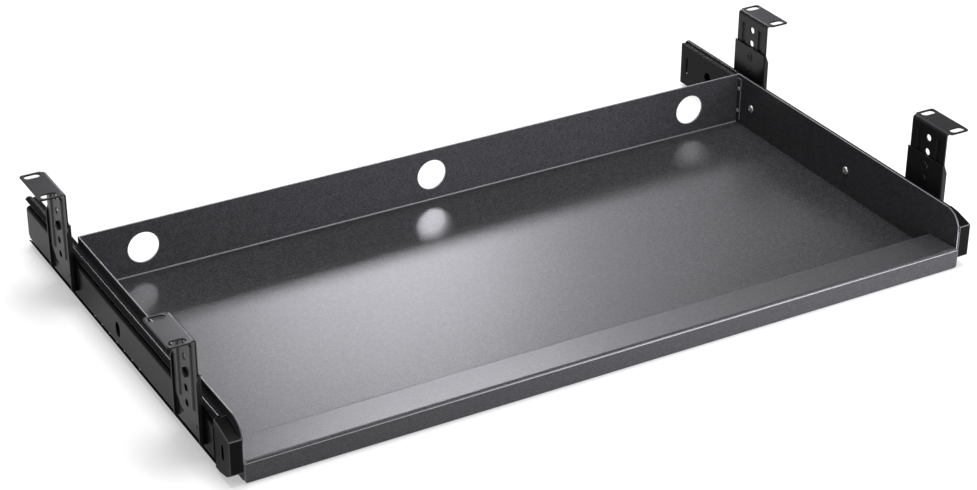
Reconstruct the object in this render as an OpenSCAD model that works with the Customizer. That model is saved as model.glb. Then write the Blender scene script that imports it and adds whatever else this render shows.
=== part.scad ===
// Sliding keyboard tray that hangs under a desk on four two-piece brackets.
// X runs across the desk, +Y points away from the user and +Z points up.
// The origin is in the plane of the bracket tops, midway between the four brackets.

/* [Tray] */
// Width across the outside of the side walls
tray_w = 670; // [520:10:800]
// Depth from the front of the apron to the back of the rear wall
tray_d = 330; // [290:5:360]
// Height of the rear and side walls above the floor
wall_h = 50; // [44:1:70]
// Thickness of the tray's sheet steel
sheet_t = 1.2; // [0.8:0.1:1.6]
// Outside radius of the folds in the tray pan
pan_fold_r = 2.4; // [2:0.2:4]
// Radius of the side walls' front top corner
wall_front_r = 17; // [5:1:25]
// Depth of the flat strip along the front edge
strip_d = 39; // [25:1:60]
// Height of the strip above the floor at its rear edge
strip_rear_h = 14.4; // [8:0.2:18]
// Height of the strip above the floor at its front edge
strip_front_h = 18; // [10:0.2:24]
// Length of the return fold under the apron
hem_l = 9; // [5:1:15]
// Radius of the apron's lower corners
apron_corner_r = 4; // [1:0.5:6]
// Diameter of each cable hole in the rear wall
cable_hole_d = 28.5; // [15:0.5:32]
// Distance between neighbouring cable holes
cable_hole_pitch = 278; // [150:1:300]
// Height of the cable holes' centres above the floor
cable_hole_z = 25; // [20:0.5:30]
// Width of the flange that carries the floor along each side wall
side_flange_w = 12; // [8:1:20]
// Width of the rear wall's end tabs
corner_tab_w = 6.5; // [6:0.5:14]

/* [Slides] */
// Length of both members of each slide
slide_len = 400; // [360:10:500]
// Distance from the front of the apron to the front of the slides
slide_front = 28; // [26:1:40]
// Height of the slides' centre line above the tray floor
slide_z = 22.6; // [22:0.2:26]
// How far the tray pulls out
travel = 268; // [150:1:268]
// Height of the tray's slide member
rail_h = 44.8; // [42:0.2:48]
// Depth of the tray's slide member, away from the wall
rail_depth = 11; // [10.6:0.2:12]
// Drop from the crown of the tray's slide member to the edge of its flat back
rail_shoulder_h = 2.1; // [1.9:0.1:3.2]
// Thickness of the slide members' steel
rail_t = 1.2; // [1:0.1:1.4]
// How far the fixed member's face stands proud of the tray's member
fixed_proud = 1; // [1:0.1:1.6]
// Diameter of the balls
ball_d = 4.8; // [4.4:0.1:4.8]
// Distance between neighbouring balls
ball_pitch = 16; // [10:1:20]
// Thickness of the ball cages
cage_t = 0.8; // [0.6:0.1:0.9]
// Distance from each slide member's end to its stop tab
stop_inset = 8; // [4:1:14]
// Distance from the front of the apron to the middle tray screws
tray_screw_front = 158; // [150:1:200]
// Distance from the back of the rear wall to the rear tray screws
tray_screw_inset = 24; // [16:1:60]
// Depth of the plastic cap on the front of each slide
cap_d = 27; // [20:1:30]

/* [Brackets] */
// Height of the desk's underside above the tray floor, in the middle setting
hang_h = 103.5; // [103:0.5:120]
// Height setting, in holes up or down from the middle one
height_hole = 0; // [-2:1:2]
// Distance between the front and rear brackets
bracket_pitch = 264; // [200:1:300]
// Distance from the front of the apron to the middle of the front brackets
bracket_front = 68; // [62:1:80]
// Width of the flange that is screwed to the desk
flange_w = 50; // [48:1:60]
// Depth of that flange, from the leg's inner face to its outer edge
flange_d = 23; // [21:0.5:35]
// Width of the leg
leg_w = 46; // [42:0.5:47]
// Thickness of the brackets' steel
bracket_t = 1.5; // [1.2:0.1:2]
// Outside radius of the brackets' folds
bracket_fold_r = 3; // [2.4:0.2:4]
// Length of the slots in the flange
slot_l = 13.5; // [9:0.5:14]
// Width of the slots in the flange
slot_w = 7; // [4:0.1:8]
// Distance between the two slots of one flange
slot_pitch = 39; // [30:0.5:39]
// Distance from the leg's inner face to the slots' centres
slot_off = 13.6; // [11:0.1:15]
// Diameter of the height holes in the leg
leg_hole_d = 6; // [5:0.1:7]
// Distance between neighbouring height holes
leg_hole_pitch = 13.5; // [12:0.5:14]
// Height of the middle height hole above the tray floor
lock_z = 63.5; // [62:0.5:65]
// Height of the leg's lower end above the tray floor
leg_bottom_z = 26; // [20:0.5:28]
// How far the leg's ribs stand out
rib_h = 1.2; // [0.4:0.1:1.4]
// Width of each rib
rib_w = 7; // [4:0.5:8]
// Height of the lower bracket's top above the tray floor
carrier_top_z = 73.5; // [70:0.5:76]
// Height of the lower bracket's bottom above the tray floor
carrier_bottom_z = 12; // [6:0.5:14]
// Depth of the lower bracket's side flanges
carrier_d = 4.6; // [4:0.2:8]
// Diameter of the threaded collar in the lower bracket
collar_d = 8.4; // [7:0.2:10]

/* [Fasteners] */
// Thread diameter of the lock screws and tray screws
screw_d = 4; // [3:0.1:4.4]
// Head diameter of the lock screws
lock_head_d = 8.6; // [7:0.2:10]
// Head diameter of the tray screws
tray_head_d = 7.6; // [6:0.2:9]
// Width across the flats of the tray screws' nuts
nut_af = 7; // [6:0.2:8]
// Shank diameter of the bracket rivets
rivet_d = 5; // [3:0.2:6]
// Distance between the two rivets of one bracket
rivet_pitch = 30; // [20:1:36]
// Diameter of the tray's corner rivets
corner_rivet_d = 2.6; // [2:0.2:3.2]

/* [Hidden] */
SIDES = ["left", "right"];
ENDS = ["front", "rear"];

$fn = 48;
eps = 0.01;
arc_steps = 6;      // straight pieces in a sheet fold
seam = 0.3;         // gap where the pan meets a side wall
run_gap = 0.3;      // gap between pieces that move past each other
thread_gap = 0.05;  // gap between a screw and its hole

wall_x = tray_w / 2;                    // outer face of a side wall
pan_x = wall_x - sheet_t - seam;        // end of the pan's floor
tray_screw_ys = [tray_screw_front, tray_d - tray_screw_inset];
bracket_mid = bracket_front + bracket_pitch / 2;
height_shift = height_hole * leg_hole_pitch;

// Slide section: u runs outward from the side wall and v up from the slide's centre line
ball_r = ball_d / 2;
race_gap = 0.2;                                    // between the balls and each race
race_r = ball_r + race_gap;
race_u = rail_depth - rail_t - race_r;             // ball centres
race_v = rail_h / 2 - rail_t - race_r;
shoulder_a = 160;                                  // where the race meets the shoulder
lip_a = 20;                                        // where the race ends
rail_web_h = rail_h - 2 * rail_shoulder_h;         // height of the flat back
fixed_face = rail_depth + fixed_proud;             // outer face of the fixed member
fixed_h = 2 * (race_v - ball_r - race_gap / 2);    // height of the fixed member
fixed_fold_r = 3.2;
fixed_short = 5;                                   // the fixed member ends this much before the tray's
fixed_edge_u = race_u - 1.6;                       // inner edge of the fixed member's flanges
cage_u = race_u - ball_r - run_gap - cage_t;       // inner face of the cage
cage_edge_u = race_u + ball_r - 0.6;               // the cage's ball pockets are open at this edge
cage_h = 2 * race_v + cage_t;
slide_rear = slide_front + slide_len;
stop_t = 1.2;
cage_front = slide_front + stop_inset + stop_t + travel / 2 + run_gap;
cage_rear = slide_rear - stop_inset - stop_t - travel / 2 - run_gap;
cage_len = cage_rear - cage_front;
ball_count = floor((cage_len - 2 * ball_d) / ball_pitch) + 1;

// Brackets, measured outward from the side wall
carrier_u = fixed_face;
leg_gap = 0.1;
guide_gap = 0.35;    // between the leg's edges and the lower bracket's side flanges
carrier_w = leg_w + 2 * (bracket_t + guide_gap);
leg_u = carrier_u + bracket_t + leg_gap;
collar_h = 0.8;
boss_r = 3;
boss_h = 0.6;
lock_head_h = 2.6;
tray_head_h = 2;
nut_h = 2;
carrier_corner_r = 3;
carrier_slope = 2.4;
flange_corner_r = 2.5;
rail_chamfer = 5;
hole_turns = [-2, -1, 0, 1, 2];
rib_ys = [-13, 13];
rib_top = 94;
rib_bottom = 38;

function unit(v) = v / norm(v);
function normal_of(v) = [-v.y, v.x];

// Points along an arc about c, from angle a0 to a1
function arc_points(c, r, a0, a1, n = arc_steps) =
    [for (i = [0:n]) let (a = a0 + (a1 - a0) * i / n) c + r * [cos(a), sin(a)]];

// Replaces the corner b of the line a, b, c by an arc of radius r
function fold_points(a, b, c, r) =
    let (
        d0 = unit(b - a),
        d1 = unit(c - b),
        turn = atan2(d0.x * d1.y - d0.y * d1.x, d0 * d1),
        side = sign(turn),
        start = b - d0 * r * tan(abs(turn) / 2),
        centre = start + normal_of(d0) * r * side
    )
    [for (i = [0:arc_steps])
        let (t = turn * i / arc_steps)
        centre + r * side * [d0.y * cos(t) + d0.x * sin(t), -d0.x * cos(t) + d0.y * sin(t)]];

// A line with each of its inner corners folded to radius r
function folded(pts, r) = concat(
    [pts[0]],
    [for (i = [1:len(pts) - 2]) each fold_points(pts[i - 1], pts[i], pts[i + 1], r)],
    [pts[len(pts) - 1]]
);

// Offset directions of a line, mitred at each point
function mitres(pts) =
    let (last = len(pts) - 1)
    [for (i = [0:last])
        let (
            before = unit(pts[max(i, 1)] - pts[max(i, 1) - 1]),
            after = unit(pts[min(i, last - 1) + 1] - pts[min(i, last - 1)])
        )
        (normal_of(before) + normal_of(after)) / (1 + before * after)];

// Section of a sheet of thickness t along its middle line
module sheet_section(pts, t) {
    m = mitres(pts);
    last = len(pts) - 1;
    polygon(concat(
        [for (i = [0:last]) pts[i] + m[i] * t / 2],
        [for (i = [last:-1:0]) pts[i] - m[i] * t / 2]
    ));
}

// Turns a section drawn in Y and Z into a bar that is centred across X
module across(width) {
    translate([-width / 2, 0, 0])
        rotate([90, 0, 90])
            linear_extrude(width)
                children();
}

// Turns a section drawn in X and Z into a bar along Y
module along(y0, y1) {
    translate([0, y1, 0])
        rotate([90, 0, 0])
            linear_extrude(y1 - y0)
                children();
}

// A round bar along X, from x0 to x1
module bar_x(r, x0, x1) {
    translate([x0, 0, 0])
        rotate([0, 90, 0])
            cylinder(r = r, h = x1 - x0);
}

// A flat slot whose long way is vertical, cut through a wall that faces X
module slot_x(w, l, x0, x1) {
    for (s = [-1, 1])
        translate([0, 0, s * (l - w) / 2])
            bar_x(w / 2, x0, x1);
    translate([x0, -w / 2, -(l - w) / 2])
        cube([x1 - x0, w, l - w]);
}

// Puts the tray and all that moves with it in the part's frame, at the chosen height
module at_tray() {
    translate([0, -bracket_mid, height_shift - hang_h])
        children();
}

// Puts a piece measured from the desk's underside in the part's frame
module at_desk() {
    translate([0, -bracket_mid, -hang_h])
        children();
}

// Draws a piece of the right side, or its mirror image on the left
module on_side(side) {
    mirror([side == "left" ? 1 : 0, 0, 0])
        translate([wall_x, 0, 0])
            children();
}

function bracket_y(end) = end == "front" ? bracket_front : bracket_front + bracket_pitch;

module tray_pan() {
    t = sheet_t;
    line = folded([
        [hem_l, -1.5 * t],
        [t / 2, -1.5 * t],
        [t / 2, strip_front_h - t / 2],
        [strip_d - t / 2, strip_rear_h - t / 2],
        [strip_d - t / 2, -t / 2],
        [tray_d - t / 2, -t / 2],
        [tray_d - t / 2, wall_h]
    ], pan_fold_r - t / 2);
    tab_z = 4;
    color([0.22, 0.22, 0.235])
    at_tray()
    difference() {
        union() {
            across(2 * pan_x)
                sheet_section(line, t);
            // The apron is wider than the floor and hides the front edges of the side walls
            across(tray_w)
                sheet_section(folded([
                    [hem_l, -1.5 * t],
                    [t / 2, -1.5 * t],
                    [t / 2, strip_front_h - pan_fold_r]
                ], pan_fold_r - t / 2), t);
            // Tabs at the ends of the rear wall, which lie against the side walls
            for (s = [-1, 1])
                translate([s * (wall_x - 1.5 * t) - t / 2, tray_d - corner_tab_w, tab_z])
                    cube([t, corner_tab_w - t / 2, wall_h - 2 * tab_z]);
        }
        for (i = [-1:1])
            translate([i * cable_hole_pitch, tray_d, cable_hole_z])
                rotate([90, 0, 0])
                    cylinder(d = cable_hole_d, h = 3 * t, center = true);
        corner_rivet_holes();
        // Rounded lower corners of the apron
        for (s = [0, 1])
            mirror([s, 0, 0])
                translate([wall_x, 0, -2 * t])
                    rotate([90, 0, 0])
                        corner_cutter(apron_corner_r, -1, 3 * hem_l);
    }
}

// Cuts the corner at the origin, which points along +X and the sign of s in Y, to radius r
module corner_cutter(r, s, h) {
    linear_extrude(h, center = true)
        difference() {
            translate([-r, s > 0 ? -r : -1])
                square(r + 1);
            translate([-r, -s * r])
                circle(r = r);
        }
}

corner_rivet_zs = [13, 36];

module corner_rivet_holes() {
    for (s = [0, 1], z = corner_rivet_zs)
        mirror([s, 0, 0])
            translate([0, tray_d - corner_tab_w / 2 - sheet_t / 2, z])
                bar_x(corner_rivet_d / 2 + thread_gap, wall_x - 3 * sheet_t, wall_x + 1);
}

module side_wall(side) {
    t = sheet_t;
    front = t + seam;
    r = wall_front_r;
    low = -2 * t;
    color([0.17, 0.17, 0.18])
    at_tray()
    on_side(side)
    difference() {
        union() {
            // The wall, with its front top corner rounded and its lower one clear of the apron's fold
            translate([-t, 0, 0])
                rotate([90, 0, 90])
                    linear_extrude(t)
                        polygon(concat(
                            [[front, 2 * t], [front + 2 * t, -t / 2], [tray_d, -t / 2], [tray_d, wall_h]],
                            arc_points([front + r, wall_h - r], r, 90, 180, 2 * arc_steps)
                        ));
            // The fold under the floor
            along(strip_d + 3, tray_d - 5)
                sheet_section(folded([
                    [-side_flange_w, low + t / 2],
                    [-t / 2, low + t / 2],
                    [-t / 2, low + 3 * t]
                ], 0.75 * t), t);
        }
        translate([-wall_x, 0, 0])
            corner_rivet_holes();
        for (y = tray_screw_ys)
            translate([0, y, slide_z])
                bar_x(screw_d / 2 + thread_gap, -2 * t, t);
    }
}

module left_side_wall() { side_wall("left"); }
module right_side_wall() { side_wall("right"); }

// Blind rivets that join the rear wall's tabs to the side walls
module corner_rivets() {
    head_r = corner_rivet_d * 0.8;
    head_h = 0.8;
    color([0.3, 0.3, 0.31])
    at_tray()
    for (s = [0, 1], z = corner_rivet_zs)
        mirror([s, 0, 0])
            translate([0, tray_d - corner_tab_w / 2 - sheet_t / 2, z]) {
                bar_x(corner_rivet_d / 2, wall_x - 2 * sheet_t - eps, wall_x);
                translate([wall_x - 2 * sheet_t - head_h, 0, 0])
                    rotate([0, 90, 0])
                        cylinder(r1 = head_r * 0.6, r2 = head_r, h = head_h);
            }
}

// The tray's slide member: a flat back, a shallow groove behind each crown and a ball race under it
module rail_section() {
    half = concat(
        arc_points([race_u, race_v], race_r + rail_t / 2, lip_a, shoulder_a, arc_steps + 3),
        [[rail_t / 2, rail_web_h / 2]]
    );
    last = len(half) - 1;
    sheet_section(concat(
        half,
        [for (i = [last:-1:0]) [half[i].x, -half[i].y]]
    ), rail_t);
}

module tray_rail(side) {
    hole_ys = [tray_screw_ys[1] + 76, tray_screw_ys[0] - 60];
    color([0.10, 0.10, 0.11])
    at_tray()
    on_side(side)
    translate([0, 0, slide_z]) {
        difference() {
            along(slide_front, slide_rear)
                rail_section();
            for (y = hole_ys)
                translate([0, y, 1.5])
                    bar_x(5, -rail_t, 2 * rail_t);
            for (y = tray_screw_ys)
                translate([0, y, 0])
                    bar_x(screw_d / 2 + thread_gap, -rail_t, 2 * rail_t);
            // The opening that the rear stop tab is bent out of
            translate([-rail_t, slide_rear - stop_inset - 3.4, -8.5])
                cube([3 * rail_t, 3.4, 17]);
        }
        // Rear stop tab, which meets the ball cage at full travel
        translate([rail_t / 2, slide_rear - stop_inset - stop_t, -8.3])
            cube([cage_u + cage_t - rail_t / 2, stop_t, 16.6]);
    }
}

module left_tray_rail() { tray_rail("left"); }
module right_tray_rail() { tray_rail("right"); }

// The fixed slide member: a channel that opens towards the tray
module fixed_rail(side) {
    r = fixed_fold_r - rail_t / 2;
    mid = fixed_h / 2 - rail_t / 2;
    face = fixed_face - rail_t / 2;
    color([0.13, 0.13, 0.14])
    at_tray()
    on_side(side)
    translate([0, 0, slide_z]) {
        difference() {
            along(slide_front, slide_rear - fixed_short)
                sheet_section(folded([
                    [fixed_edge_u, mid],
                    [face, mid],
                    [face, -mid],
                    [fixed_edge_u, -mid]
                ], r), rail_t);
            translate([0, bracket_mid + 16, 0])
                slot_x(9, 13, fixed_face - 2 * rail_t, fixed_face + 1);
            rivet_holes();
            // Rear lower corner is cut off
            translate([fixed_face, slide_rear - fixed_short, -fixed_h / 2])
                rotate([45, 0, 0])
                    cube([2 * rail_depth, sqrt(2) * rail_chamfer, sqrt(2) * rail_chamfer], center = true);
        }
        // Front stop tab, which meets the ball cage at full travel
        translate([cage_u + run_gap, slide_front + stop_inset, -5])
            cube([fixed_face - rail_t / 2 - cage_u - run_gap, stop_t, 10]);
    }
}

module left_fixed_rail() { fixed_rail("left"); }
module right_fixed_rail() { fixed_rail("right"); }

// Holes for the bracket rivets, in the slide's own height
module rivet_holes() {
    for (end = ENDS, s = [-1, 1])
        translate([0, bracket_y(end) + s * rivet_pitch / 2, 0])
            bar_x(rivet_d / 2 + thread_gap, carrier_u - 2 * rail_t, carrier_u + bracket_t + 1);
}

module ball_cage(side) {
    mid = cage_h / 2 - cage_t / 2;
    color([0.5, 0.5, 0.48])
    at_tray()
    on_side(side)
    translate([0, 0, slide_z])
    difference() {
        along(cage_front, cage_rear)
            sheet_section(folded([
                [cage_edge_u, mid],
                [cage_u + cage_t / 2, mid],
                [cage_u + cage_t / 2, -mid],
                [cage_edge_u, -mid]
            ], 0.75 * cage_t), cage_t);
        for (y = ball_ys())
            translate([race_u, y, 0])
                cylinder(r = ball_r + thread_gap, h = 2 * rail_h, center = true);
    }
}

function ball_ys() =
    let (start = (cage_front + cage_rear - (ball_count - 1) * ball_pitch) / 2)
    [for (i = [0:ball_count - 1]) start + i * ball_pitch];

module left_ball_cage() { ball_cage("left"); }
module right_ball_cage() { ball_cage("right"); }

module balls(side) {
    color([0.72, 0.72, 0.72])
    at_tray()
    on_side(side)
    for (y = ball_ys(), s = [-1, 1])
        translate([race_u, y, slide_z + s * race_v])
            sphere(r = ball_r);
}

module left_balls() { balls("left"); }
module right_balls() { balls("right"); }

// Plastic cap that closes the front of the slide and meets the fixed member when the tray is in
module end_cap(side) {
    back = slide_front - run_gap;
    front = back - cap_d;
    outer = rail_depth + 0.4;
    top = slide_z + rail_h / 2 - 1.4;
    bottom = slide_z - rail_h / 2 + 0.6;
    tongue_u = cage_u - run_gap;
    color([0.07, 0.07, 0.075])
    at_tray()
    on_side(side)
    difference() {
        union() {
            rotate([90, 0, 90])
                linear_extrude(outer)
                    polygon([
                        [back, bottom],
                        [back, top],
                        [front + 17, top - 1.2],
                        [front, top - 6],
                        [front, bottom + 7.4],
                        [front + 7, bottom + 2.6],
                        [front + 19, bottom]
                    ]);
            // Tongue that is pushed into the tray's slide member
            translate([rail_t, back - 1, slide_z - 10])
                cube([tongue_u - rail_t, stop_inset - 1, 20]);
        }
        translate([outer + eps, front + 13, slide_z - 1])
            slot_x(5, 14, -3, 1);
    }
}

module left_end_cap() { end_cap("left"); }
module right_end_cap() { end_cap("right"); }

// Pan head on the negative X side of a shank that runs from x0 to x1, with a cross recess
module pan_screw(head_d, head_h, x0, x1) {
    difference() {
        union() {
            bar_x(screw_d / 2, x0 - eps, x1);
            translate([x0, 0, 0])
                rotate([0, -90, 0])
                    rotate_extrude()
                        pan_head_section(head_d / 2, head_h);
        }
        for (a = [0, 90])
            rotate([a, 0, 0])
                translate([x0 - head_h - 1, -0.5, -0.28 * head_d])
                    cube([1 + head_h * 0.55, 1, 0.56 * head_d]);
    }
}

// Half section of a pan head: a low cylinder under a dome
module pan_head_section(r, h) {
    rim = 0.35 * h;
    rise = h - rim;
    dome_r = (r * r + rise * rise) / (2 * rise);
    half_angle = asin(r / dome_r);
    polygon(concat(
        [[0, 0], [r, 0]],
        arc_points([0, h - dome_r], dome_r, 90 - half_angle, 90)
    ));
}

// Screws from inside the tray into the slides
module tray_screws() {
    color([0.8, 0.8, 0.78])
    at_tray()
    for (side = SIDES, y = tray_screw_ys)
        on_side(side)
            translate([0, y, slide_z])
                pan_screw(tray_head_d, tray_head_h, -sheet_t, rail_t + nut_h - 0.2);
}

module tray_screw_nuts() {
    color([0.7, 0.7, 0.68])
    at_tray()
    for (side = SIDES, y = tray_screw_ys)
        on_side(side)
            translate([rail_t, y, slide_z])
                rotate([0, 90, 0])
                    difference() {
                        cylinder(d = nut_af / cos(30), h = nut_h, $fn = 6);
                        cylinder(r = screw_d / 2 + thread_gap, h = 3 * nut_h, center = true);
                    }
}

// Upper bracket: a flange under the desk, and a ribbed leg with a column of height holes
module upper_bracket(end, side) {
    t = bracket_t;
    bottom = leg_bottom_z;
    cut_w = 12;
    cut_h = 10;
    color([0.16, 0.16, 0.17])
    at_desk()
    on_side(side)
    translate([0, bracket_y(end), 0])
    difference() {
        union() {
            along(-flange_w / 2, flange_w / 2)
                sheet_section(folded([
                    [leg_u + t / 2, hang_h - 8],
                    [leg_u + t / 2, hang_h - t / 2],
                    [leg_u + flange_d, hang_h - t / 2]
                ], bracket_fold_r - t / 2), t);
            translate([leg_u, 0, 0])
                rotate([90, 0, 90])
                    linear_extrude(t)
                        polygon([
                            [-leg_w / 2, bottom],
                            [leg_w / 2 - cut_w, bottom],
                            [leg_w / 2, bottom + cut_h],
                            [leg_w / 2, hang_h - bracket_fold_r - 1],
                            [-leg_w / 2, hang_h - bracket_fold_r - 1]
                        ]);
            leg_ribs(t, rib_w, rib_h);
        }
        // The hollow side of each rib
        leg_ribs(-eps, rib_w - 1.2, rib_h);
        // The flange narrows to the leg's width just outside the fold
        for (s = [0, 1])
            mirror([0, s, 0])
                translate([leg_u, 0, bottom])
                    linear_extrude(hang_h)
                        polygon([
                            [-1, leg_w / 2],
                            [bracket_fold_r, leg_w / 2],
                            [bracket_fold_r + (flange_w - leg_w) / 2 + 1, flange_w / 2 + 1],
                            [-1, flange_w / 2 + 1]
                        ]);
        // Rounded outer corners of the flange
        for (s = [-1, 1])
            translate([leg_u + flange_d, s * flange_w / 2, hang_h])
                corner_cutter(flange_corner_r, s, 4 * t);
        for (i = hole_turns)
            translate([0, 0, lock_z + i * leg_hole_pitch])
                bar_x(leg_hole_d / 2, leg_u - 1, leg_u + t + 1);
        for (s = [-1, 1])
            translate([leg_u + slot_off, s * slot_pitch / 2, hang_h])
                flange_slot();
    }
}

// Rounded ribs on the leg, from the plane at u outward
module leg_ribs(u, w, h) {
    rib_r = (w * w / 4 + h * h) / (2 * h);
    for (y = rib_ys)
        translate([leg_u + u + h - rib_r, y, rib_bottom])
            intersection() {
                cylinder(r = rib_r, h = rib_top - rib_bottom);
                translate([rib_r - h - eps, -w, 0])
                    cube([h + 1, 2 * w, rib_top]);
            }
}

module flange_slot() {
    for (s = [-1, 1])
        translate([s * (slot_l - slot_w) / 2, 0, 0])
            cylinder(d = slot_w, h = 4 * bracket_t, center = true);
    translate([-(slot_l - slot_w) / 2, -slot_w / 2, -2 * bracket_t])
        cube([slot_l - slot_w, slot_w, 4 * bracket_t]);
}

module front_left_upper_bracket() { upper_bracket("front", "left"); }
module front_right_upper_bracket() { upper_bracket("front", "right"); }
module rear_left_upper_bracket() { upper_bracket("rear", "left"); }
module rear_right_upper_bracket() { upper_bracket("rear", "right"); }

// Lower bracket: a plate riveted to the slide, with side flanges that guide the leg
module lower_bracket(end, side) {
    t = bracket_t;
    half = carrier_w / 2 - t / 2;
    h = carrier_top_z - carrier_bottom_z;
    color([0.12, 0.12, 0.13])
    at_tray()
    on_side(side)
    translate([0, bracket_y(end), 0])
    difference() {
        union() {
            translate([0, 0, carrier_bottom_z])
                linear_extrude(h)
                    sheet_section(folded([
                        [carrier_u + carrier_d, -half],
                        [carrier_u + t / 2, -half],
                        [carrier_u + t / 2, half],
                        [carrier_u + carrier_d, half]
                    ], 0.7 * t), t);
            translate([0, 0, lock_z])
                bar_x(collar_d / 2, carrier_u - collar_h, carrier_u + eps);
            // A pressed boss under the collar
            translate([0, 0, lock_z - 0.85 * leg_hole_pitch])
                bar_x(boss_r, carrier_u - boss_h, carrier_u + eps);
        }
        translate([0, 0, lock_z])
            bar_x(screw_d / 2 + thread_gap, carrier_u - 2 * t, carrier_u + 2 * t);
        translate([0, -bracket_y(end), slide_z])
            rivet_holes();
        // The side flanges slope away at the top and have a rounded corner at the bottom
        translate([carrier_u, carrier_w, carrier_top_z])
            rotate([90, 0, 0])
                linear_extrude(2 * carrier_w)
                    polygon([
                        [t + 0.3, 1],
                        [t + 0.3, -0.3],
                        [carrier_d + 1, -0.3 - carrier_slope * (carrier_d + 0.7 - t)],
                        [carrier_d + 1, 1]
                    ]);
        translate([carrier_u + carrier_d, 0, carrier_bottom_z])
            rotate([90, 0, 0])
                corner_cutter(carrier_corner_r, -1, 2 * carrier_w);
    }
}

module front_left_lower_bracket() { lower_bracket("front", "left"); }
module front_right_lower_bracket() { lower_bracket("front", "right"); }
module rear_left_lower_bracket() { lower_bracket("rear", "left"); }
module rear_right_lower_bracket() { lower_bracket("rear", "right"); }

// Rivets between the lower brackets and the fixed slide members, flush on the bracket's side
module bracket_rivets() {
    head_h = 1;
    color([0.35, 0.35, 0.36])
    at_tray()
    for (side = SIDES, end = ENDS, s = [-1, 1])
        on_side(side)
            translate([0, bracket_y(end) + s * rivet_pitch / 2, slide_z]) {
                bar_x(rivet_d / 2, carrier_u - rail_t - eps, carrier_u + bracket_t);
                bar_x(rivet_d * 0.75, carrier_u - rail_t - head_h, carrier_u - rail_t);
            }
}

// Screws that lock each leg to its lower bracket at the chosen height
module lock_screws() {
    color([0.09, 0.09, 0.095])
    at_tray()
    for (side = SIDES, end = ENDS)
        on_side(side)
            translate([leg_u + bracket_t, bracket_y(end), lock_z])
                rotate([0, 0, 180])
                    pan_screw(lock_head_d, lock_head_h, 0, bracket_t * 2 + leg_gap + collar_h);
}

tray_pan();
left_side_wall();
right_side_wall();
corner_rivets();
left_tray_rail();
right_tray_rail();
left_fixed_rail();
right_fixed_rail();
left_ball_cage();
right_ball_cage();
left_balls();
right_balls();
left_end_cap();
right_end_cap();
tray_screws();
tray_screw_nuts();
front_left_upper_bracket();
front_right_upper_bracket();
rear_left_upper_bracket();
rear_right_upper_bracket();
front_left_lower_bracket();
front_right_lower_bracket();
rear_left_lower_bracket();
rear_right_lower_bracket();
bracket_rivets();
lock_screws();
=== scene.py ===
# %% [markdown]
# # A sliding keyboard tray
# This lesson dresses the CAD model of a keyboard tray: a folded steel tray that rolls out on two ball
# slides, which hang under a desk on four pairs of brackets. The CAD model gives every piece its size and
# place. What is left for Blender is what a camera sees: softened sheet edges, powder coat, plated screws
# and moulded plastic, and light that shows them.

# %% The frame from the CAD model
import math

import bmesh
import bpy
from mathutils import Matrix, Quaternion, Vector


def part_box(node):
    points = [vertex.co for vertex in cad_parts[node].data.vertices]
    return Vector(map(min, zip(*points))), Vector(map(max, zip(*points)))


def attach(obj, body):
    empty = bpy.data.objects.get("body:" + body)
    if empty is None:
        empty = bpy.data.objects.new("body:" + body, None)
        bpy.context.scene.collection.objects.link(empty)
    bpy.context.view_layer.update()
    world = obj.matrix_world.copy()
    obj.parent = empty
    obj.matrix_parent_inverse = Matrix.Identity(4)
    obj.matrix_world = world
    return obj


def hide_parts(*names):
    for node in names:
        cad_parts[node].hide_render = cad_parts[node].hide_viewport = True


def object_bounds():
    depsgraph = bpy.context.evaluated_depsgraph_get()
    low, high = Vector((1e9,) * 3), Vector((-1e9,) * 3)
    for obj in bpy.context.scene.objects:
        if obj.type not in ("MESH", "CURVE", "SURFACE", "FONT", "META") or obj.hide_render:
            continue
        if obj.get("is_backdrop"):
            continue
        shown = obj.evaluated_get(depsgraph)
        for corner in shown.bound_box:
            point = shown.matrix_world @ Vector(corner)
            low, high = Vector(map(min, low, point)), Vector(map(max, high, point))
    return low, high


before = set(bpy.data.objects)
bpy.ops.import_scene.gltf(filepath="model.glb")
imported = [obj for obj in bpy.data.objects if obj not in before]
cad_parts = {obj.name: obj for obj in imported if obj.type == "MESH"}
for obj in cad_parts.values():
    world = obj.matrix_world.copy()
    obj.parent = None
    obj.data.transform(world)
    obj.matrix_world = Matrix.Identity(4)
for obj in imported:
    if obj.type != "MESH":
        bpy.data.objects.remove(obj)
for leftover in ("Cube", "Light", "Camera"):
    if leftover in bpy.data.objects:
        bpy.data.objects.remove(bpy.data.objects[leftover])
cad_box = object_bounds()
cad_size = cad_box[1] - cad_box[0]
print("CAD model:", len(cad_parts), "nodes,", "x".join(f"{1000 * d:.0f}" for d in cad_size), "mm")

# %% [markdown]
# The photograph was taken with a long lens from the front left, looking down by about 29 degrees. The
# camera's place was solved from the tray's edges, so the render can be laid over the photograph. A long
# lens keeps the far edge of the tray nearly as long as the near one.

# %% Camera
MM = 0.001
CAMERA_AT = Vector((-905.05, -1554.16, 897.61)) * MM
AZIMUTH, ELEVATION, ROLL = (math.radians(a) for a in (-29.81, 28.75, 0.31))
FOCAL_PIXELS, PHOTO_WIDTH, SENSOR_MM = 2384.6, 977, 36

camera = bpy.data.objects.new("camera", bpy.data.cameras.new("camera"))
bpy.context.scene.collection.objects.link(camera)
bpy.context.scene.camera = camera
camera.data.sensor_width = SENSOR_MM
camera.data.lens = SENSOR_MM * FOCAL_PIXELS / PHOTO_WIDTH
camera.data.clip_start, camera.data.clip_end = 0.05, 50
backwards = Vector((
    math.sin(AZIMUTH) * math.cos(ELEVATION),
    -math.cos(AZIMUTH) * math.cos(ELEVATION),
    math.sin(ELEVATION),
))
camera.location = CAMERA_AT
camera.rotation_mode = "QUATERNION"
camera.rotation_quaternion = (-backwards).to_track_quat("-Z", "Y") @ Quaternion((0, 0, 1), ROLL)
print(f"camera: {camera.data.lens:.0f} mm lens")

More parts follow.
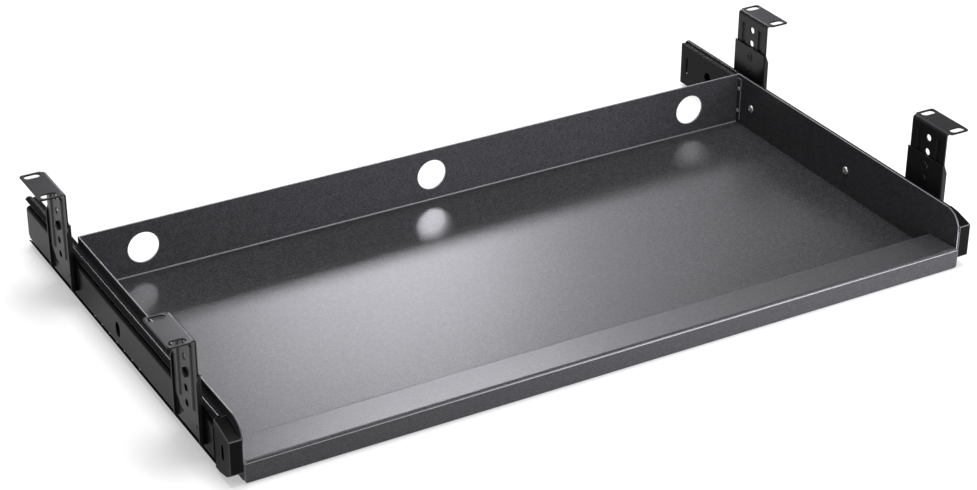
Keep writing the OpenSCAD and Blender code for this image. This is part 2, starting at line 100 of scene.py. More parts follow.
# %% [markdown]
# Dark glossy sheet metal shows its surroundings more than its own colour. So the room comes before the
# materials: a pale world, a white paper floor, and a few large soft lamps. The world is white where the
# camera sees it, but it lights the tray with about half of that, and black paint mirrors a little less
# still. The Light Path node tells these three uses apart, and Math nodes turn its answers into one
# strength.


# %% World
def math_node(tree, operation, first, second, clamp=False):
    """A Math node on two values, each a socket or a number."""
    node = tree.nodes.new("ShaderNodeMath")
    node.operation = operation
    node.use_clamp = clamp
    for value, socket in zip((first, second), node.inputs):
        if isinstance(value, (int, float)):
            socket.default_value = value
        else:
            tree.links.new(value, socket)
    return node.outputs[0]


SKY_GREY, SKY_STRENGTH, SKY_MIRRORED, SKY_SEEN = 0.8, 0.5, 0.4, 1.25
scene = bpy.context.scene
scene.view_settings.view_transform = "Standard"
world = scene.world or bpy.data.worlds.new("studio")
scene.world = world
world.use_nodes = True
sky = world.node_tree
sky.nodes.clear()
rays = sky.nodes.new("ShaderNodeLightPath").outputs
seen = math_node(sky, "MAXIMUM", rays["Is Camera Ray"], rays["Is Transmission Ray"])
for_seen = math_node(sky, "MULTIPLY", seen, SKY_SEEN - SKY_STRENGTH)
for_mirrored = math_node(sky, "MULTIPLY", rays["Is Glossy Ray"], SKY_MIRRORED - SKY_STRENGTH)
strength = math_node(sky, "ADD", math_node(sky, "ADD", for_seen, for_mirrored), SKY_STRENGTH)
background = sky.nodes.new("ShaderNodeBackground")
background.inputs["Color"].default_value = (SKY_GREY, SKY_GREY, SKY_GREY, 1)
sky.links.new(strength, background.inputs["Strength"])
sky.links.new(background.outputs[0], sky.nodes.new("ShaderNodeOutputWorld").inputs[0])
print("world: white where it is seen, half as strong where it lights")

# %% [markdown]
# The floor is one large sheet of paper, just under the slides. Paper that is only lit would have to be
# lit very strongly to come out white, and the tray with it. So the paper is a mid grey that catches the
# soft shadows, with a glow of its own added where the camera sees it. The glow grows with the distance
# from the tray, because the lamps reach less far than the paper does.

# %% Floor under the tray
FLOOR_Z = cad_box[0].z
FLOOR_REACH, FLOOR_GAP = 8, 0.0002
bm = bmesh.new()
bmesh.ops.create_grid(bm, x_segments=1, y_segments=1, size=FLOOR_REACH)
bmesh.ops.translate(bm, verts=bm.verts, vec=(0, 0, FLOOR_Z - FLOOR_GAP))
floor_mesh = bpy.data.meshes.new("studio_floor")
bm.to_mesh(floor_mesh)
bm.free()
studio_floor = bpy.data.objects.new("studio_floor", floor_mesh)
scene.collection.objects.link(studio_floor)
studio_floor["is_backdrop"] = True

# %% White paper
PAPER_GREY, GLOW_MIRRORED = 0.45, 0.2
GLOW_BY_DISTANCE = {"From Min": 1.3, "From Max": 4.0, "To Min": 0.43, "To Max": 0.9}
paper = bpy.data.materials.new("white_paper")
paper.use_nodes = True
tree = paper.node_tree
tree.nodes.clear()
matt = tree.nodes.new("ShaderNodeBsdfDiffuse")
matt.inputs["Color"].default_value = (PAPER_GREY, PAPER_GREY, PAPER_GREY, 1)
distance = tree.nodes.new("ShaderNodeVectorMath")
distance.operation = "LENGTH"
tree.links.new(tree.nodes.new("ShaderNodeTexCoord").outputs["Object"], distance.inputs[0])
by_distance = tree.nodes.new("ShaderNodeMapRange")
for socket, value in GLOW_BY_DISTANCE.items():
    by_distance.inputs[socket].default_value = value
tree.links.new(distance.outputs["Value"], by_distance.inputs["Value"])
rays = tree.nodes.new("ShaderNodeLightPath").outputs
for_seen = math_node(tree, "MULTIPLY", rays["Is Camera Ray"], by_distance.outputs[0])
for_mirrored = math_node(tree, "MULTIPLY", rays["Is Glossy Ray"], GLOW_MIRRORED)
glow = tree.nodes.new("ShaderNodeEmission")
glow.inputs["Color"].default_value = (1, 1, 1, 1)
tree.links.new(math_node(tree, "ADD", for_seen, for_mirrored), glow.inputs["Strength"])
both = tree.nodes.new("ShaderNodeAddShader")
tree.links.new(matt.outputs[0], both.inputs[0])
tree.links.new(glow.outputs[0], both.inputs[1])
tree.links.new(both.outputs[0], tree.nodes.new("ShaderNodeOutputMaterial").inputs[0])
floor_mesh.materials.append(paper)
print(f"floor at {1000 * FLOOR_Z:.1f} mm")

# %% [markdown]
# The strong lamp stands behind the tray, low enough that the tray's floor mirrors it towards the camera.
# A weaker one beside it spreads that reflection to the right. A low lamp in front lights the apron, and
# stays clear of the tray at full travel. The wide one overhead stands in for a white ceiling. Lamps are
# given by their radiance, so that a larger lamp isn't a dimmer one, and the camera doesn't see them.


# %% Lamps
TRAY_MIDDLE = Vector((0, -0.03, -0.1))


def softbox(name, radiance, size, offset, colour):
    """A rectangular lamp of a given radiance, at an offset from the tray's middle, which it faces."""
    lamp = bpy.data.lights.new(name, "AREA")
    lamp.shape = "RECTANGLE"
    lamp.size, lamp.size_y = size
    lamp.energy = radiance * math.pi * size[0] * size[1]
    lamp.color = colour
    stand = bpy.data.objects.new(name, lamp)
    scene.collection.objects.link(stand)
    stand.visible_camera = False
    stand.location = TRAY_MIDDLE + offset
    stand.rotation_mode = "QUATERNION"
    stand.rotation_quaternion = (-offset).to_track_quat("-Z", "Y")
    print(f"{name}: {lamp.energy:.1f} W")


def in_direction(azimuth, elevation, distance):
    """An offset in metres by its azimuth, from +Y towards +X, and its elevation, in degrees."""
    a, e = math.radians(azimuth), math.radians(elevation)
    return Vector((math.sin(a) * math.cos(e), math.cos(a) * math.cos(e), math.sin(e))) * distance


COOL = (1, 0.985, 1.06)
softbox("back_softbox", 30, (0.6, 0.42), in_direction(23.6, 28.3, 3.0), COOL)
softbox("side_softbox", 3.6, (0.7, 0.6), in_direction(33, 30, 3.0), COOL)
softbox("front_softbox", 50, (0.45, 0.16), in_direction(154, 7.5, 0.82), COOL)
softbox("top_softbox", 11, (1.6, 1.6), in_direction(0, 88, 2.8), (1, 1, 1))

# %% [markdown]
# ## Powder coat
# The tray is sprayed with powder that melts into a skin with a fine pebbled texture. It is dark, but it
# mirrors softly at low angles, so the base colour is nearly black and most of what is seen comes from
# the clear outer skin. One node group makes the pebbles for all painted pieces: a fine noise for the
# grains and a slower one for the flow of the skin. Too much of the slow one looks like stains, so it
# counts for little. The sockets are named, so each finish sets its own sizes and strengths.


# %% Node group: painted skin
def new_group(name, inputs, outputs):
    """A node group with named sockets: (name, type, default)."""
    group = bpy.data.node_groups.new(name, "ShaderNodeTree")
    for socket, kind, value in inputs:
        made = group.interface.new_socket(name=socket, in_out="INPUT", socket_type=kind)
        made.default_value = value
    for socket, kind in outputs:
        group.interface.new_socket(name=socket, in_out="OUTPUT", socket_type=kind)
    return group, group.nodes.new("NodeGroupInput"), group.nodes.new("NodeGroupOutput")


def noise(tree, scale, detail=2.0, rough=0.5):
    """Noise on Object coordinates; scale is in repeats per metre."""
    place = tree.nodes.new("ShaderNodeTexCoord")
    node = tree.nodes.new("ShaderNodeTexNoise")
    tree.links.new(place.outputs["Object"], node.inputs["Vector"])
    if isinstance(scale, (int, float)):
        node.inputs["Scale"].default_value = scale
    else:
        tree.links.new(scale, node.inputs["Scale"])
    node.inputs["Detail"].default_value = detail
    node.inputs["Roughness"].default_value = rough
    return node.outputs["Fac"]


# A Mix node lists its sockets for numbers, vectors and colours together: these are the colour ones
MIX_INPUTS, MIX_OUTPUT = (0, 6, 7), 2


def mix_colour(tree, fac, first, second):
    """A colour between two colours, each a socket or an RGB value."""
    node = tree.nodes.new("ShaderNodeMix")
    node.data_type = "RGBA"
    for value, index in zip((fac, first, second), MIX_INPUTS):
        socket = node.inputs[index]
        if isinstance(value, (int, float)):
            socket.default_value = value
        elif isinstance(value, tuple):
            socket.default_value = (*value, 1)
        else:
            tree.links.new(value, socket)
    return node.outputs[MIX_OUTPUT]


painted, given, made = new_group(
    "painted_skin",
    [
        ("Colour", "NodeSocketColor", (0.03, 0.03, 0.03, 1)),
        ("Fleck Colour", "NodeSocketColor", (0.12, 0.12, 0.12, 1)),
        ("Worn And Highlight Colour", "NodeSocketColor", (0.3, 0.3, 0.3, 1)),
        ("Edge", "NodeSocketFloat", 0.0),
        ("Grain Scale", "NodeSocketFloat", 900.0),
        ("Grain Depth", "NodeSocketFloat", 0.2),
        ("Speckle", "NodeSocketFloat", 0.3),
        ("Roughness", "NodeSocketFloat", 0.35),
    ],
    [
        ("Colour", "NodeSocketColor"),
        ("Roughness", "NodeSocketFloat"),
        ("Normal", "NodeSocketVector"),
    ],
)
FLOW_SCALE, FLOW_HEIGHT, FLOW_COLOUR, FLOW_GLOSS = 0.22, 0.35, 0.16, 0.03
GRAIN_HEIGHT, NOISE_MIDDLE = 0.0002, 0.5
grain = noise(painted, given.outputs["Grain Scale"], detail=3.0, rough=0.6)
flow = noise(painted, math_node(painted, "MULTIPLY", given.outputs["Grain Scale"], FLOW_SCALE))
height = math_node(painted, "ADD", grain, math_node(painted, "MULTIPLY", flow, FLOW_HEIGHT))
bump = painted.nodes.new("ShaderNodeBump")
bump.inputs["Distance"].default_value = GRAIN_HEIGHT
painted.links.new(given.outputs["Grain Depth"], bump.inputs["Strength"])
painted.links.new(height, bump.inputs["Height"])
painted.links.new(bump.outputs["Normal"], made.inputs["Normal"])
# The grains catch light one by one, so the colour varies with them around its usual value
USUAL_FLECKS = 0.25
both = math_node(painted, "ADD", grain, math_node(painted, "MULTIPLY", flow, FLOW_COLOUR))
around = math_node(painted, "SUBTRACT", both, NOISE_MIDDLE * (1 + FLOW_COLOUR))
spots = math_node(painted, "MULTIPLY", around, given.outputs["Speckle"])
lighter = math_node(painted, "ADD", spots, USUAL_FLECKS, clamp=True)
speckled = mix_colour(painted, lighter, given.outputs["Colour"], given.outputs["Fleck Colour"])
# Marked edges get a lighter colour: thin paint, and a painted highlight
worn_and_highlight = mix_colour(painted, given.outputs["Edge"], speckled, given.outputs["Worn And Highlight Colour"])
painted.links.new(worn_and_highlight, made.inputs["Colour"])
off_middle = math_node(painted, "SUBTRACT", flow, NOISE_MIDDLE)
patchy = math_node(painted, "MULTIPLY", off_middle, FLOW_GLOSS)
rough = math_node(painted, "ADD", given.outputs["Roughness"], patchy)
painted.links.new(rough, made.inputs["Roughness"])
print("painted_skin group:", len(painted.nodes), "nodes")


# %% Painted finishes
def finish(name, metallic=0.0, specular=0.5, coat=0.0, coat_rough=0.1):
    """A material with a Principled shader, whose plain values are set on its own sockets."""
    material = bpy.data.materials.new(name)
    material.use_nodes = True
    shader = material.node_tree.nodes["Principled BSDF"]
    shader.inputs["Metallic"].default_value = metallic
    shader.inputs["Specular IOR Level"].default_value = specular
    shader.inputs["Coat Weight"].default_value = coat
    shader.inputs["Coat Roughness"].default_value = coat_rough
    return material, shader


def painted_finish(name, colour, fleck, worn_and_highlight, grain, depth, speckle, rough, **plain):
    """Paint with the pebbled skin; the mesh's edge attribute adds thin paint and a painted highlight."""
    material, shader = finish(name, **plain)
    tree = material.node_tree
    skin = tree.nodes.new("ShaderNodeGroup")
    skin.node_tree = painted
    skin.inputs["Colour"].default_value = (*colour, 1)
    skin.inputs["Fleck Colour"].default_value = (*fleck, 1)
    skin.inputs["Worn And Highlight Colour"].default_value = (*worn_and_highlight, 1)
    skin.inputs["Grain Scale"].default_value = grain
    skin.inputs["Grain Depth"].default_value = depth
    skin.inputs["Speckle"].default_value = speckle
    skin.inputs["Roughness"].default_value = rough
    thin_paint_and_highlight = tree.nodes.new("ShaderNodeAttribute")
    thin_paint_and_highlight.attribute_name = "thin_paint_and_highlight"
    tree.links.new(thin_paint_and_highlight.outputs["Fac"], skin.inputs["Edge"])
    tree.links.new(skin.outputs["Colour"], shader.inputs["Base Color"])
    tree.links.new(skin.outputs["Roughness"], shader.inputs["Roughness"])
    tree.links.new(skin.outputs["Normal"], shader.inputs["Normal"])
    return material


# Each finish's worn colour goes on marked edges as thin paint and a painted highlight; on the plastic
# caps it is a painted highlight only
powder_coat = painted_finish(
    "charcoal_powder_coat",
    colour=(0.0150, 0.0150, 0.0160), fleck=(0.062, 0.061, 0.066), worn_and_highlight=(0.21, 0.21, 0.22),
    grain=1000, depth=0.3, speckle=2.8, rough=0.37, specular=0.17, coat=0.17, coat_rough=0.26,
)
slide_paint = painted_finish(
    "black_slide_paint",
    colour=(0.003, 0.003, 0.0035), fleck=(0.014, 0.014, 0.015), worn_and_highlight=(0.04, 0.04, 0.04),
    grain=700, depth=0.15, speckle=0.4, rough=0.24, specular=0.055, coat=0.02, coat_rough=0.16,
)
bracket_paint = painted_finish(
    "black_bracket_paint",
    colour=(0.003, 0.003, 0.0035), fleck=(0.016, 0.016, 0.017), worn_and_highlight=(0.004, 0.004, 0.004),
    grain=900, depth=0.2, speckle=0.5, rough=0.38, specular=0.17, coat=0.17, coat_rough=0.27,
)
# The corner rivets are given a light grey, so that their heads show as light dots
rivet_paint = painted_finish(
    "light_grey_rivet_coat",
    colour=(0.16, 0.16, 0.165), fleck=(0.30, 0.30, 0.30), worn_and_highlight=(0.3, 0.3, 0.3),
    grain=1000, depth=0.6, speckle=1.5, rough=0.3, specular=0.4, coat=0.2, coat_rough=0.2,
)
screw_black = painted_finish(
    "black_oxide",
    colour=(0.002, 0.002, 0.0025), fleck=(0.008, 0.008, 0.008), worn_and_highlight=(0.05, 0.05, 0.05),
    grain=1500, depth=0.1, speckle=0.3, rough=0.14, specular=0.12,
)
print("painted finishes: powder coat, slides, brackets, rivets, black screws")

# %% [markdown]
# Zinc plating is bright and slightly cloudy, and the hardened balls are polished and a little oily. Both
# are metals, so their colour goes into the reflection, and a cloud of noise shifts it between a bright
# and a dull one. The end caps are moulded in black plastic, whose surface copies the etched texture of
# the mould, so the painted skin's fine grain serves for it too.

# %% Bare metal and plastic
plated, given, made = new_group(
    "plated_metal",
    [
        ("Bright", "NodeSocketColor", (0.7, 0.7, 0.7, 1)),
        ("Dull", "NodeSocketColor", (0.4, 0.4, 0.4, 1)),
        ("Cloud Scale", "NodeSocketFloat", 400.0),
        ("Roughness", "NodeSocketFloat", 0.25),
    ],
    [("Colour", "NodeSocketColor"), ("Roughness", "NodeSocketFloat"), ("Normal", "NodeSocketVector")],
)
CLOUD_GLOSS, CLOUD_HEIGHT, CLOUD_BUMP = 0.25, 0.00004, 0.3
clouds = noise(plated, given.outputs["Cloud Scale"], detail=4.0, rough=0.65)
clouded = mix_colour(plated, clouds, given.outputs["Bright"], given.outputs["Dull"])
plated.links.new(clouded, made.inputs["Colour"])
off_middle = math_node(plated, "SUBTRACT", clouds, NOISE_MIDDLE)
uneven = math_node(plated, "MULTIPLY", off_middle, CLOUD_GLOSS)
rough = math_node(plated, "ADD", given.outputs["Roughness"], uneven)
plated.links.new(rough, made.inputs["Roughness"])
bump = plated.nodes.new("ShaderNodeBump")
bump.inputs["Distance"].default_value = CLOUD_HEIGHT
bump.inputs["Strength"].default_value = CLOUD_BUMP
plated.links.new(clouds, bump.inputs["Height"])
plated.links.new(bump.outputs["Normal"], made.inputs["Normal"])


def metal_finish(name, bright, dull, clouds, rough):
    """Bare or plated metal."""
    material, shader = finish(name, metallic=1.0)
    tree = material.node_tree
    skin = tree.nodes.new("ShaderNodeGroup")
    skin.node_tree = plated
    skin.inputs["Bright"].default_value = (*bright, 1)
    skin.inputs["Dull"].default_value = (*dull, 1)
    skin.inputs["Cloud Scale"].default_value = clouds
    skin.inputs["Roughness"].default_value = rough
    tree.links.new(skin.outputs["Colour"], shader.inputs["Base Color"])
    tree.links.new(skin.outputs["Roughness"], shader.inputs["Roughness"])
    tree.links.new(skin.outputs["Normal"], shader.inputs["Normal"])
    return material


zinc = metal_finish("zinc_plate", (0.90, 0.90, 0.88), (0.66, 0.66, 0.67), clouds=600, rough=0.3)
# The cage is zinc plated, but it lies in shadow between the rails, so it gets a dark colour: painted
# shade
cage_darkened_as_shade = metal_finish(
    "cage_steel_painted_shade", (0.16, 0.16, 0.16), (0.09, 0.09, 0.09), clouds=500, rough=0.42,
)
ball_steel = metal_finish(
    "polished_steel", (0.80, 0.80, 0.81), (0.70, 0.70, 0.71), clouds=300, rough=0.14,
)
cap_plastic = painted_finish(
    "moulded_plastic",
    colour=(0.002, 0.002, 0.002), fleck=(0.007, 0.007, 0.007), worn_and_highlight=(0.07, 0.07, 0.07),
    grain=1300, depth=0.25, speckle=0.5, rough=0.24, specular=0.04,
)
print("metals and plastic made")

# %% [markdown]
# ## Softened edges
# CAD edges are perfectly sharp, and sharp edges never catch light. Real sheet is sheared, tumbled and
# sprayed, so each edge is a tiny round that shows as a thin bright line. A copy of a node's mesh is
# merged, its flat faces are joined again, and its sharp edges are bevelled. The bevel's own faces are
# marked in an attribute, where the paint is thinner and a lighter colour adds a painted highlight. The
# narrow sides of the tray's sheet get a weaker mark of the same kind, and the inside of its rear fold
# one that is only a painted highlight. Low in the rear corners the bevels' painted highlight is dimmed,
# as painted shade. A bevel can push a point outwards where three edges meet, so every point is kept
# within the node's own box.


# %% Helpers: pieces and their shading
def new_piece(name, bm, body, material):
    """Makes an object of a bmesh that rides on a body."""
    mesh = bpy.data.meshes.new(name)
    bm.to_mesh(mesh)
    bm.free()
    mesh.materials.append(material)
    piece = bpy.data.objects.new(name, mesh)
    scene.collection.objects.link(piece)
    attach(piece, body)
    return piece


def shade_by_angle(bm, degrees):
    """Smooth faces, split where two faces meet at more than an angle."""
    for face in bm.faces:
        face.smooth = True
    for edge in bm.edges:
        if len(edge.link_faces) == 2:
            edge.smooth = edge.calc_face_angle(0) < math.radians(degrees)


def keep_flats_flat(piece):
    """Large faces keep their own normals, and only the small bevels curve."""
    weigh = piece.modifiers.new("weighted_normals", "WEIGHTED_NORMAL")
    weigh.mode = "FACE_AREA"
    weigh.keep_sharp = True


# %% Helpers: where the paint is thin and where highlights are painted
SHARP_DEGREES = 38
NARROW_SIDE, LONG_EDGE = 1.4 * MM, 4 * MM
CORNER_X, CORNER_Y, CORNER_Z = 327 * MM, 115 * MM, -55 * MM
FOLD_Y, FOLD_Z, FOLD_SLOPE = 120 * MM, -100 * MM, 0.3
# Amounts of lighter edge colour: thin paint and painted highlight on cut edges and bevels, a painted
# highlight alone in the rear fold, and in the corners a highlight dimmed as painted shade
CUT_WEAR_AND_HIGHLIGHT, FOLD_HIGHLIGHT, CORNER_DIMMED_HIGHLIGHT, BEVEL_WEAR_AND_HIGHLIGHT = 0.6, 0.5, 0.1, 1.0


def is_sharp(edge):
    """Whether two faces meet at an edge at more than a bend's own angle."""
    return len(edge.link_faces) == 2 and edge.calc_face_angle(0) > math.radians(SHARP_DEGREES)


def is_cut_edge(face):
    """Whether a face is the narrow side of the sheet, with sharp long edges."""
    if 2 * face.calc_area() / face.calc_perimeter() > NARROW_SIDE:
        return False
    long_edges = [e for e in face.edges if e.calc_length() > LONG_EDGE and len(e.link_faces) == 2]
    return bool(long_edges) and all(is_sharp(e) for e in long_edges)


def in_corner(face):
    """Whether a face lies low in a rear corner of the tray, where no light reaches its edges."""
    x, y, z = face.calc_center_median()
    return abs(x) > CORNER_X and y > CORNER_Y and z < CORNER_Z


def in_rear_fold(face):
    """Whether a face is the inside of the bend between the tray's floor and its rear wall."""
    place, facing = face.calc_center_median(), face.normal
    slopes = facing.y < -FOLD_SLOPE and facing.z > FOLD_SLOPE
    return slopes and place.y > FOLD_Y and place.z < FOLD_Z


def wear_and_highlight_of(face):
    """Thin paint and painted highlight on cut edges, painted highlight in the rear fold, before
    bevelling.
    """
    if in_rear_fold(face):
        return FOLD_HIGHLIGHT
    return CUT_WEAR_AND_HIGHLIGHT if is_cut_edge(face) else 0.0


print("helpers for edges are ready")


# %% Helper: a node with softened edges
FLAT_DEGREES, BEVEL_DEGREES = 0.6, 50


def keep_inside(bm, low, high):
    """Moves points that a bevel pushed past the piece's own box back onto it."""
    for vert in bm.verts:
        vert.co = [min(max(c, a), b) for c, a, b in zip(vert.co, low, high)]


def soften(node, body, slot, material, width):
    """A copy of a node with bevelled edges, which takes the node's place."""
    bm = bmesh.new()
    bm.from_mesh(bpy.data.objects[node].data)
    bmesh.ops.remove_doubles(bm, verts=bm.verts, dist=1e-6)
    bmesh.ops.dissolve_limit(
        bm, angle_limit=math.radians(FLAT_DEGREES), use_dissolve_boundaries=False,
        verts=bm.verts, edges=bm.edges,
    )
    # The mark paints a lighter colour: thin paint and a painted highlight on the tray's edges
    mark = bm.faces.layers.float.new("thin_paint_and_highlight")
    for face in bm.faces:
        face[mark] = wear_and_highlight_of(face) if slot == "tray_powder_coat" else 0.0
    made = bmesh.ops.bevel(
        bm, geom=[e for e in bm.edges if is_sharp(e)], offset=width, offset_type="OFFSET",
        affect="EDGES", segments=2, profile=0.5, clamp_overlap=False, material=-1,
    )
    # Bevels get thin paint and a painted highlight, dimmed as painted shade low in the rear corners
    for face in made["faces"]:
        face[mark] = CORNER_DIMMED_HIGHLIGHT if in_corner(face) else BEVEL_WEAR_AND_HIGHLIGHT
    keep_inside(bm, *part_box(node))
    shade_by_angle(bm, BEVEL_DEGREES)
    piece = new_piece(node + "_softened", bm, body, material)
    keep_flats_flat(piece)
    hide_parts(node)
    return piece


# %% Sheet metal and caps
SHEET_NODES = {
    "tray_pan": ("tray", "tray_powder_coat", powder_coat),
    "left_side_wall": ("tray", "tray_powder_coat", powder_coat),
    "right_side_wall": ("tray", "tray_powder_coat", powder_coat),
    "left_tray_rail": ("tray", "slide_black", slide_paint),
    "right_tray_rail": ("tray", "slide_black", slide_paint),
    "left_fixed_rail": ("desk_frame", "slide_black", slide_paint),
    "right_fixed_rail": ("desk_frame", "slide_black", slide_paint),
    "left_ball_cage": ("left_cage", "zinc", cage_darkened_as_shade),
    "right_ball_cage": ("right_cage", "zinc", cage_darkened_as_shade),
    "left_end_cap": ("tray", "cap_plastic", cap_plastic),
    "right_end_cap": ("tray", "cap_plastic", cap_plastic),
}
for end in ("front", "rear"):
    for side in ("left", "right"):
        for part in ("upper", "lower"):
            SHEET_NODES[f"{end}_{side}_{part}_bracket"] = ("desk_frame", "bracket_black", bracket_paint)
MOULDED, PRESSED, SHEARED = 0.6 * MM, 0.45 * MM, 0.25 * MM
for node, (body, slot, material) in SHEET_NODES.items():
    width = MOULDED if slot == "cap_plastic" else PRESSED if "upper" in node else SHEARED
    piece = soften(node, body, slot, material, width)
    print(node, len(piece.data.polygons), "faces")

# %% [markdown]
# ## Fasteners
# The tray screws are plated pan heads and the lock screws are blackened ones. A cross recess is punched
# with a pointed tool, so its four wings slope down to the middle, and the rim of a pan head is rolled
# round. A head is turned from half of its outline with a spin, and the recess is cut with a Boolean,
# because four sloping wings are hard to weave into a turned mesh by hand. Thread rings on the shank are
# part of the same outline.


# %% Helpers: turned shapes and cuts
def turned(outline, steps=40):
    """A shape turned about the X axis from (x, radius) points that begin and end on the axis."""
    bm = bmesh.new()
    points = [bm.verts.new((x * MM, 0, r * MM)) for x, r in outline]
    line = [bm.edges.new(pair) for pair in zip(points, points[1:])]
    bmesh.ops.spin(
        bm, geom=points + line, cent=(0, 0, 0), axis=(1, 0, 0), angle=2 * math.pi, steps=steps,
        use_merge=True,
    )
    bmesh.ops.remove_doubles(bm, verts=bm.verts, dist=1e-7)
    bmesh.ops.recalc_face_normals(bm, faces=bm.faces)
    return bm


def arc(centre, radius, start, end, count=6):
    """Points of an arc in the plane of an outline; angles in degrees from the X axis."""
    turns = [math.radians(start + (end - start) * i / count) for i in range(count + 1)]
    return [(centre[0] + radius * math.cos(t), centre[1] + radius * math.sin(t)) for t in turns]


def scratch_object(bm):
    """An object of a bmesh that is only needed for a cut."""
    mesh = bpy.data.meshes.new("scratch")
    bm.to_mesh(mesh)
    bm.free()
    thing = bpy.data.objects.new("scratch", mesh)
    scene.collection.objects.link(thing)
    return thing


def carved(bm, tools):
    """A bmesh with other bmeshes cut out of it."""
    whole = scratch_object(bm)
    cutters = [scratch_object(tool) for tool in tools]
    for cutter in cutters:
        cut = whole.modifiers.new("cut", "BOOLEAN")
        cut.operation, cut.solver, cut.object = "DIFFERENCE", "EXACT", cutter
    finished = whole.evaluated_get(bpy.context.evaluated_depsgraph_get())
    result = bmesh.new()
    result.from_mesh(finished.to_mesh())
    finished.to_mesh_clear()
    for thing in [whole, *cutters]:
        bpy.data.objects.remove(thing)
    return result


WING_BOTTOM_WIDTH, WING_BOTTOM_LENGTH = 0.35, 0.25


def cross_wing(top, depth, length, width, turn):
    """One bar of a cross recess, which narrows towards its bottom."""
    bm = bmesh.new()
    bmesh.ops.create_cube(bm, size=1)
    bmesh.ops.scale(bm, verts=bm.verts, vec=(2 * depth * MM, width * MM, length * MM))
    for vert in bm.verts:
        if vert.co.x < 0:
            vert.co.y *= WING_BOTTOM_WIDTH
            vert.co.z *= WING_BOTTOM_LENGTH
    bmesh.ops.translate(bm, verts=bm.verts, vec=(top * MM, 0, 0))
    spin = Matrix.Rotation(math.radians(turn), 3, "X")
    bmesh.ops.rotate(bm, verts=bm.verts, cent=(0, 0, 0), matrix=spin)
    return bm


THREAD_R, CORE_R, TIP_R, PITCH = 1.98, 1.62, 1.4, 0.7
RECESS_DEPTH, RECESS_WIDTH, RECESS_REACH = 1.3, 1.05, 1.15
RIM_ROUND, RIM_HEIGHT = 0.3, 0.35
CROWN_INSET, CROWN_HEIGHT, CROWN_FULLNESS, CROWN_STEPS = 0.15, 0.98, 0.8, 8


def pan_screw(head_r, head_h, shank, turn):
    """A pan-head screw along X, with the underside of its head at X = 0 and its shank towards -X."""
    rings = []
    x = -shank + 0.4
    while x < -0.5:
        rings += [(x, CORE_R), (x + 0.5 * PITCH, THREAD_R)]
        x += PITCH
    outline = [(-shank, 0), (-shank, TIP_R), *rings]
    outline += [(-0.2, THREAD_R), (0, THREAD_R), (0, head_r - 0.25)]
    outline += arc((RIM_ROUND, head_r - RIM_ROUND), RIM_ROUND, start=280, end=420, count=5)
    rim = RIM_HEIGHT * head_h
    for i in range(1, CROWN_STEPS + 1):
        inwards = i / CROWN_STEPS
        crown = CROWN_HEIGHT * (head_h - rim) * (1 - (1 - inwards) ** 2) ** 0.5
        outline.append((rim + crown, (head_r - CROWN_INSET) * (1 - inwards) ** CROWN_FULLNESS))
    wings = [
        cross_wing(head_h, RECESS_DEPTH, RECESS_REACH * head_r, RECESS_WIDTH, turn + quarter)
        for quarter in (0, 90)
    ]
    return carved(turned(outline), wings)


def in_place(bm, at, outwards):
    """Puts a shape made along +X at a point in millimetres, facing +X or -X."""
    if outwards < 0:
        bmesh.ops.rotate(bm, verts=bm.verts, cent=(0, 0, 0), matrix=Matrix.Rotation(math.pi, 3, "Z"))
    bmesh.ops.translate(bm, verts=bm.verts, vec=Vector(at) * MM)
    return bm


def joined(parts):
    """One bmesh of several."""
    whole = bmesh.new()
    for part in parts:
        mesh = bpy.data.meshes.new("part")
        part.to_mesh(mesh)
        part.free()
        whole.from_mesh(mesh)
        bpy.data.meshes.remove(mesh)
    return whole


ROUND_DEGREES = 32


def fastener_set(name, parts, body, material, node):
    """Several fasteners as one piece, in the place of a CAD node."""
    bm = joined(parts)
    shade_by_angle(bm, ROUND_DEGREES)
    piece = new_piece(name, bm, body, material)
    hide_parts(node)
    print(name, len(piece.data.polygons), "faces")
    return piece


print("helpers for turned and carved shapes are ready")

# %% Screws
WALL_X, SHEET = 335, 1.2
SLIDE_Z, LOCK_Z = -80.9, -40.0
TRAY_SCREW_YS, BRACKET_YS = (-42, 106), (-132, 132)
LEG_OUTSIDE = WALL_X + 15.1
fastener_set(
    "tray_screws_detailed",
    [
        in_place(
            pan_screw(head_r=3.8, head_h=2.0, shank=4.2, turn=20 + 33 * i),
            at=(side * (WALL_X - SHEET), y, SLIDE_Z), outwards=-side,
        )
        for side in (-1, 1) for i, y in enumerate(TRAY_SCREW_YS)
    ],
    "tray", zinc, "tray_screws",
)
fastener_set(
    "lock_screws_detailed",
    [
        in_place(
            pan_screw(head_r=4.3, head_h=2.6, shank=3.9, turn=10 + 27 * i),
            at=(side * LEG_OUTSIDE, y, LOCK_Z), outwards=side,
        )
        for side in (-1, 1) for i, y in enumerate(BRACKET_YS)
    ],
    "desk_frame", screw_black, "lock_screws",
)

# %% [markdown]
# The rear corners are held by blind rivets. Pulling the pin through sets the rivet and leaves a small
# pit in the middle of its head. The slide rivets are pressed flat instead, and show as a disc with a
# fine ring around it.

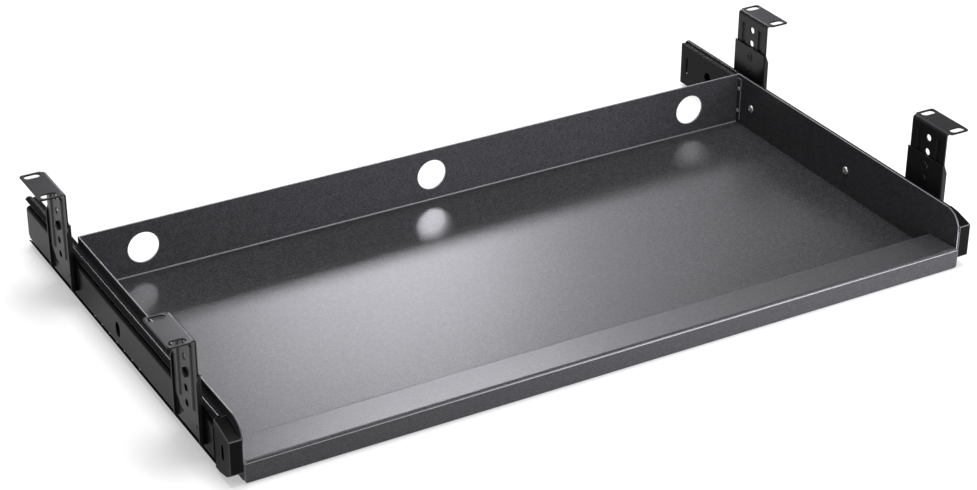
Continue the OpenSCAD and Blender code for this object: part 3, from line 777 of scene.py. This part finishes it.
# %% Rivets
REAR_TAB_Y, CORNER_RIVET_ZS = 126.15, (-90.5, -67.5)
SLIDE_OUTSIDE, RIVET_OFFSETS = WALL_X + 13.5, (-15, 15)
BLIND_RIVET = [
    (-1.2, 0), (-1.2, 1.3), (0, 1.3), (0, 2.0), (0.12, 2.08), (0.3, 2.0), (0.62, 1.5), (0.8, 1.0),
    (0.8, 0.75), (0.45, 0.55), (0.45, 0.3), (0.6, 0.2), (0.62, 0),
]
PRESSED_RIVET = [
    (-3.7, 0), (-3.7, 3.4), (-3.4, 3.75), (-2.7, 3.75), (-2.7, 2.5), (-0.15, 2.5), (0, 2.3), (0, 1.9),
    (-0.18, 1.8), (-0.18, 1.6), (0, 1.5), (0, 0),
]
fastener_set(
    "corner_rivets_detailed",
    [
        in_place(
            turned(BLIND_RIVET, steps=32),
            at=(side * (WALL_X - 2 * SHEET), REAR_TAB_Y, z), outwards=-side,
        )
        for side in (-1, 1) for z in CORNER_RIVET_ZS
    ],
    "tray", rivet_paint, "corner_rivets",
)
fastener_set(
    "bracket_rivets_detailed",
    [
        in_place(
            turned(PRESSED_RIVET),
            at=(side * SLIDE_OUTSIDE, y + offset, SLIDE_Z), outwards=side,
        )
        for side in (-1, 1) for y in BRACKET_YS for offset in RIVET_OFFSETS
    ],
    "desk_frame", slide_paint, "bracket_rivets",
)

# %% [markdown]
# Balls are round already and the nuts sit out of sight inside the slides, so these nodes keep their CAD
# shape. Only their material slots are filled.

# %% Materials of the nodes that keep their CAD shape
KEPT_NODES = {
    "left_balls": ball_steel,
    "right_balls": ball_steel,
    "tray_screw_nuts": zinc,
}
for node, material in KEPT_NODES.items():
    for place in bpy.data.objects[node].material_slots:
        place.material = material
print("kept nodes:", ", ".join(KEPT_NODES))

# %% [markdown]
# The last cell prints how far the finished model's box reaches past the CAD model's box. It should be
# nothing, because dressing a part must never change its size.

seen_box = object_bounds()
below, above = cad_box[0] - seen_box[0], seen_box[1] - cad_box[1]
print("grown by", [round(1000 * max(pair), 2) for pair in zip(below, above)], "mm")
